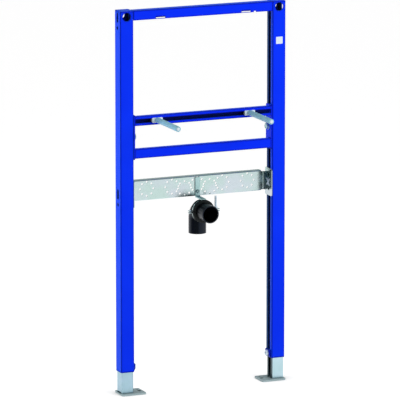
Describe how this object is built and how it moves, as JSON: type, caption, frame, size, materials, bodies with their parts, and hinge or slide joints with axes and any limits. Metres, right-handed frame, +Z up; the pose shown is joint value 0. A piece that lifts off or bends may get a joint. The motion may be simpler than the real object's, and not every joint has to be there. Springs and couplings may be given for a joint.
{
  "type": "basin installation frame",
  "caption": "Tall steel frame for a wash basin inside a drywall: slotted posts on telescopic feet, basin rail with sleeved studs, perforated tap plate and clamped waste bend.",
  "frame": {"origin": "centre of the whole part in plan, on the floor under the foot plates", "axes": "+X along the rails, -Y to the front where the basin studs point, +Z up"},
  "size_m": [0.5, 0.221, 1.088],
  "materials": {
    "blue_powder_coat": "powder coated",
    "zinc_plated_steel": "zinc plated",
    "black_polyethylene": "smooth moulded",
    "black_rubber": "moulded",
    "grey_polyethylene": "smooth moulded"
  },
  "bodies": {
    "feet": {"left_leg": "zinc_plated_steel", "left_base_plate": "zinc_plated_steel", "right_leg": "zinc_plated_steel", "right_base_plate": "zinc_plated_steel"},
    "frame": {"top_rail": "blue_powder_coat", "stud_rail": "blue_powder_coat", "lower_crossbar": "blue_powder_coat", "tap_plate": "zinc_plated_steel", "waste_bend": "black_polyethylene", "bend_collar": "black_rubber", "clamp_strap": "zinc_plated_steel", "clamp_rod": "zinc_plated_steel", "clamp_band_upper": "zinc_plated_steel", "clamp_band_lower": "zinc_plated_steel", "left_post": "blue_powder_coat", "left_post_cap": "blue_powder_coat", "left_clamp_lug": "blue_powder_coat", "left_end_plate": "blue_powder_coat", "left_stud_rod": "zinc_plated_steel", "left_slot_plate": "zinc_plated_steel", "left_stud_sleeve": "grey_polyethylene", "right_post": "blue_powder_coat", "right_post_cap": "blue_powder_coat", "right_clamp_lug": "blue_powder_coat", "right_end_plate": "blue_powder_coat", "right_stud_rod": "zinc_plated_steel", "right_slot_plate": "zinc_plated_steel", "right_stud_sleeve": "grey_polyethylene"}
  },
  "joints": [
    {"name": "height_slide", "type": "slide", "parent": "feet", "child": "frame", "axis": [0, 0, 1], "range_m": [-0.05, 0.145]}
  ]
}
